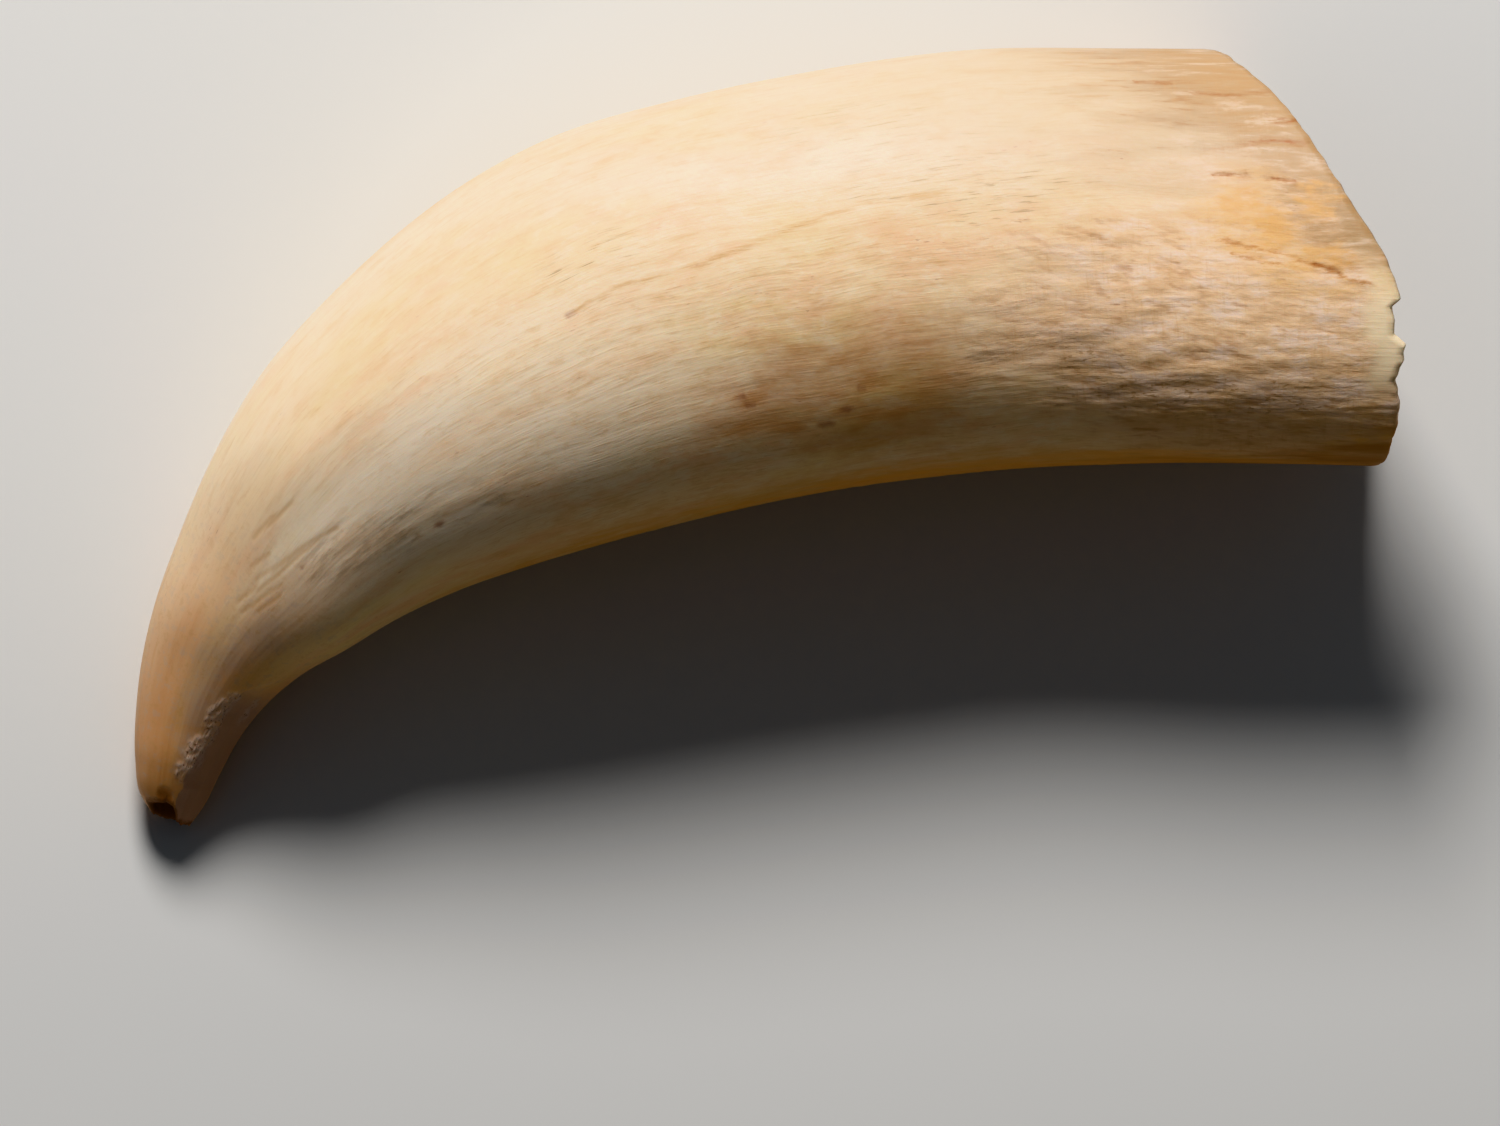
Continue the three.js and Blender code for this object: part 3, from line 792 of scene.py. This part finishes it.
lilac_part = times(
    finish, ramp(finish, read("from_tip"), 160.0, 188.0, 0.15, 1.0), read("above_fold")
)
lilac_flecks = ramp(finish, flecks, 0.4, 0.56, 0.3, 0.8)
lilac = times(finish, ramp(finish, blocks, 0.46, 0.6), lilac_flecks, lilac_part)
colour = lay(colour, LILAC, wrinkles, lilac)
# Darker in the hollows of the small folds and of the fine grain: painted shade.
colour = lay(colour, PAINTED_FURROW_SHADE, wrinkles, ramp(finish, crest, 0.47, 0.34), strength=0.6)
colour = lay(colour, PAINTED_FURROW_SHADE, wrinkles, ramp(finish, flecks, 0.47, 0.36), strength=0.25)
root = sums(finish, "MAXIMUM", wrinkles, times(finish, root_tan, 0.6))
colour = lay(colour, FIBRE_BROWN, root, ramp(finish, weave, 0.54, 0.7), strength=0.22)
# A grey-brown band with dark dots on the lower side of the root: painted shade.
painted_shade = ragged_mask("painted_shade", -0.1, 0.7, 9 * MM, 3 * MM, 45, 1.0)
colour = lay(colour, PAINTED_SHADE_BROWN, painted_shade, strength=0.32)
painted_pit_shade = ramp(finish, along_grain(finish, grain, 1.5 * MM, 0.6 * MM, 46, detail=2.0), 0.6, 0.68)
colour = lay(colour, PAINTED_HOLLOW_SHADE, painted_shade, painted_pit_shade, strength=0.6)
orange = ragged_mask("orange", -0.05, 0.7, 8 * MM, 2.4 * MM, 33, 1.1)
colour = lay(colour, ORANGE, orange, ramp(finish, flecks, 0.36, 0.6, 0.25, 0.8))
rim_tan = times(finish, read("rim_tan"), ramp(finish, strokes, 0.36, 0.6, 0.25, 0.8))
colour = lay(colour, RIM_TAN, rim_tan)
rim_strokes = times(finish, ramp(finish, strokes, 0.5, 0.3), ramp(finish, flecks, 0.35, 0.6))
rim_lilac = times(finish, read("rim_tan"), rim_strokes)
colour = lay(colour, LILAC, rim_lilac, strength=0.25)
rusty = ragged_mask("rusty", -0.1, 0.7, 4 * MM, 1.2 * MM, 41, 1.2)
colour = lay(colour, RUST, rusty, ramp(finish, mottles, 0.36, 0.6, 0.15, 0.65))
# An orange-brown lower edge of the root: partly stain, partly painted shade and warm glow.
amber_and_shade = ragged_mask("amber_and_shade", -0.1, 0.7, 14 * MM, 3 * MM, 50, 0.9)
colour = lay(colour, AMBER_AND_SHADE, amber_and_shade, ramp(finish, streaks, 0.35, 0.65, 0.5, 0.85))
# Darker along the sunk lines and grooves: painted shade.
colour = lay(colour, PAINTED_HOLLOW_SHADE, read("sunk"), strength=0.14)
# A bright orange line along the lower inner edge: painted warm glow over a golden tone.
low_gold_and_glow = ragged_mask("low_gold_and_glow", -0.1, 0.7, 16 * MM, 2.4 * MM, 59, 0.7)
colour = lay(colour, LOW_GOLD_AND_GLOW, low_gold_and_glow, strength=0.6)
flakes = ragged_mask("flaking", -0.1, 0.9, 1.4 * MM, 0.5 * MM, 34, 1.1)
colour = lay(colour, LILAC, flakes, ramp(finish, flecks, 0.42, 0.56, 0.1, 0.3))
colour = lay(colour, RIM_PALE, read("rim_band"), strength=0.75)

# Small marks: folds and dents of the flank, darkened by painted shade, spots, specks, scratches, the
# seam over the middle and the cracks near the rim.
# Brown in the creases of the flank's folds: painted shade.
colour = lay(colour, FIBRE_BROWN, ramp(finish, read("flank_folds"), 0.0, 1.0), strength=0.4)
# Darker mottles over the dented flank: painted shade among brown patches.
dents = ramp(finish, read("dented"), 0.0, 0.6)
colour = lay(colour, PAINTED_SHADE_BROWN, dents, ramp(finish, mottles, 0.5, 0.66), strength=0.3)
spots = ragged_mask("spots", -0.1, 0.8, 1.2 * MM, 0.7 * MM, 35, 0.3)
colour = lay(colour, SPOT_RED, spots, strength=0.55)
specks = ramp(finish, along_grain(finish, grain, 1.8 * MM, 0.34 * MM, 36, detail=2.0), 0.66, 0.74)
colour = lay(colour, SPOT_RED, specks, ramp(finish, patches, 0.54, 0.66), strength=0.45)
scratch_lines = ramp(finish, along_grain(finish, grain, 5.0 * MM, 0.26 * MM, 37, detail=3.0), 0.53, 0.68)
scratch_zone = ragged_mask("scratched", 0.1, 0.7, 9 * MM, 3 * MM, 38, 0.9)
colour = lay(colour, SCRATCH_GREY, scratch_lines, scratch_zone, strength=0.6)
seam = ragged_mask("seam", 0.2, 1.2, 3.5 * MM, 0.4 * MM, 51, 1.1)
colour = lay(colour, FIBRE_BROWN, seam, ramp(finish, mottles, 0.4, 0.6, 0.5, 1.0), strength=0.75)
crack_halo = ragged_mask("cracks", 0.1, 1.2, 3.0 * MM, 0.5 * MM, 52, 1.2)
colour = lay(colour, STREAK_BROWN, crack_halo, strength=0.6)
rusty_crack = ragged_mask("rusty_crack", 0.5, 1.3, 2.4 * MM, 0.5 * MM, 53, 1.5)
colour = lay(colour, CRACK_RUST, rusty_crack, strength=0.7)
crack = ragged_mask("cracks", 0.6, 1.3, 1.6 * MM, 0.4 * MM, 48, 1.0)
colour = lay(colour, CRACK_RED, crack, strength=0.75)

# The facet, its crumbling edge, the pit of the tip and the pulp cavity, with painted shade in the ridge's
# gaps, round the broken end and in the pit.
facet = read("facet")
colour = lay(colour, FACET_TAN, facet, strength=0.75)
crumble = crumbling(finish, place)
ridge = broken_ridge(finish, place, read("facet_edge"))
colour = lay(colour, BONE_WHITE, ridge, ramp(finish, crumble, 0.4, 0.55, 0.3, 0.65))
# Dark gaps among the crumbs of the ridge: painted shade.
gaps = along_grain(finish, place, 0.5 * MM, 0.5 * MM, 58, detail=3.0, roughness=0.65)
colour = lay(colour, PAINTED_DARK_SHADE, ridge, ramp(finish, gaps, 0.43, 0.33), strength=0.75)
cavity = read("in_cavity")
cavity_colour = lay(CAVITY_TAN, CREAM, ramp(finish, patches, 0.4, 0.65))
colour = lay(colour, cavity_colour, cavity)
chipped = sums(finish, "MULTIPLY_ADD", centred(finish, crumble), 0.5, read("tip_chip"))
tip_chip = ramp(finish, chipped, 0.0, 0.5)
colour = lay(colour, CHIP_BROWN, tip_chip, strength=0.7)
# A dark ring round the broken end of the tip: painted shade.
ragged_distance = sums(finish, "MULTIPLY_ADD", centred(finish, crumble), 0.7, read("from_break"))
broken = ramp(finish, ragged_distance, 0.9, 0.1)
colour = lay(colour, PAINTED_DARK_SHADE, broken, strength=0.75)
# The inside of the pit is painted dark: painted shade.
colour = lay(colour, PIT_SHADE_BROWN, read("in_pit"))

# The wrinkles, the facet and the cavity are duller than the smooth skin. The bump holds only what
# is finer than the mesh: threads, hairs and weave, and the leathery grain of the wrinkles.
worn = wrinkles
for part in (facet, cavity, ridge):
    worn = sums(finish, "MAXIMUM", worn, part)
roughness = sums(
    finish, "MULTIPLY_ADD", worn, WORN_ROUGHER, ramp(finish, patches, 0.3, 0.75, *SATIN)
)
leather = along_grain(finish, grain, 2.0 * MM, 0.8 * MM, 43, detail=3.0, roughness=0.6)
fine_height = sums(finish, "ADD", times(finish, threads, 0.5, clear), times(finish, hairs, 0.3, clear))
for part in (
    times(finish, wrinkles, flecks, 0.5), times(finish, wrinkles, leather, 1.1),
    times(finish, root, weave, 0.7),
):
    fine_height = sums(finish, "ADD", fine_height, part)
bump = add(finish, "ShaderNodeBump", {
    "Strength": 1.0, "Distance": FINE_RELIEF, "Height": fine_height,
}).outputs[0]
shader = add(finish, "ShaderNodeBsdfPrincipled", {
    "Base Color": colour, "Roughness": roughness, "Normal": bump, "IOR": REFRACTION,
    "Subsurface Weight": SUBSURFACE, "Subsurface Scale": SUBSURFACE_REACH,
    "Subsurface Radius": SUBSURFACE_SPREAD,
})
add(finish, "ShaderNodeOutputMaterial", {0: shader.outputs[0]})

growing = bpy.data.objects.new("growing_tooth", tooth_mesh)
bpy.context.scene.collection.objects.link(growing)
shape = growing.modifiers.new("grown relief", "NODES")
shape.node_group = relief
for name, size in RELIEF_SIZES.items():
    shape[size_sockets[name].identifier] = size
shape[finish_socket.identifier] = ivory
evaluated = growing.evaluated_get(bpy.context.evaluated_depsgraph_get())
tooth = bpy.data.objects.new("tooth_ivory", bpy.data.meshes.new_from_object(evaluated))
bpy.context.scene.collection.objects.link(tooth)
bpy.data.objects.remove(growing)

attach(tooth, "root")
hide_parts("tooth")


# The floor is a plain pale sheet. One large soft lamp stands low behind the outer curve, as in the
# photograph, and a faint even light fills the shadows.
FLOOR_HALF_SIZE = 3.0
FLOOR_GREY = (0.70, 0.68, 0.65)
FLOOR_ROUGHNESS = 0.9
FLOOR_GAP = 0.1 * MM
LAMP_DISTANCE = 1.3
LAMP_HEIGHT_ANGLE = math.radians(37)
LAMP_SIDE_ANGLE = math.radians(8)  # from +Y towards the tip's side
LAMP_SIZE = 0.45
LAMP_POWER = 16.0
FILL = 0.135
FILL_COLOUR = (0.86, 0.92, 1.0)

floor_mesh = bpy.data.meshes.new("floor")
corners = [(-1, -1), (1, -1), (1, 1), (-1, 1)]
floor_mesh.from_pydata(
    [(x * FLOOR_HALF_SIZE, y * FLOOR_HALF_SIZE, -FLOOR_GAP) for x, y in corners], [], [(0, 1, 2, 3)],
)
floor_finish = bpy.data.materials.new("pale floor")
floor_finish.use_nodes = True
floor_shader = floor_finish.node_tree.nodes["Principled BSDF"]
floor_shader.inputs["Base Color"].default_value = (*FLOOR_GREY, 1)
floor_shader.inputs["Roughness"].default_value = FLOOR_ROUGHNESS
floor_mesh.materials.append(floor_finish)
floor = bpy.data.objects.new("floor", floor_mesh)
bpy.context.scene.collection.objects.link(floor)

lamp_data = bpy.data.lights.new("soft lamp", "AREA")
lamp_data.shape = "DISK"
lamp_data.size = LAMP_SIZE
lamp_data.energy = LAMP_POWER
lamp = bpy.data.objects.new("soft lamp", lamp_data)
lamp_way = (
    -math.sin(LAMP_SIDE_ANGLE) * math.cos(LAMP_HEIGHT_ANGLE),
    math.cos(LAMP_SIDE_ANGLE) * math.cos(LAMP_HEIGHT_ANGLE),
    math.sin(LAMP_HEIGHT_ANGLE),
)
lamp.location = [LAMP_DISTANCE * part for part in lamp_way]
lamp.rotation_euler = (-lamp.location).to_track_quat("-Z", "Y").to_euler()
lamp.visible_camera = False
bpy.context.scene.collection.objects.link(lamp)

world = bpy.data.worlds.new("even light")
world.use_nodes = True
sky = world.node_tree.nodes["Background"]
sky.inputs["Color"].default_value = (*FILL_COLOUR, 1)
sky.inputs["Strength"].default_value = FILL
bpy.context.scene.world = world
bpy.context.scene.view_settings.view_transform = "Khronos PBR Neutral"
bpy.context.scene.view_settings.look = "High Contrast"

# The camera looks straight down. The picture is 1500 pixels wide, at 0.15 mm a pixel.
PICTURE_WIDTH = 225 * MM
PICTURE_CENTRE = (-2.55 * MM, -18.8 * MM)
PICTURE_HEIGHT_IN_SPACE = 22 * MM  # where the width is measured, over the floor
LENS_LENGTH = 600.0
camera_data = bpy.data.cameras.new("camera")
camera_data.lens = LENS_LENGTH
camera_distance = PICTURE_WIDTH * LENS_LENGTH / camera_data.sensor_width
camera_data.clip_start = camera_distance / 100
camera_data.clip_end = camera_distance * 10
camera = bpy.data.objects.new("camera", camera_data)
camera.location = (*PICTURE_CENTRE, PICTURE_HEIGHT_IN_SPACE + camera_distance)
bpy.context.scene.collection.objects.link(camera)
bpy.context.scene.camera = camera
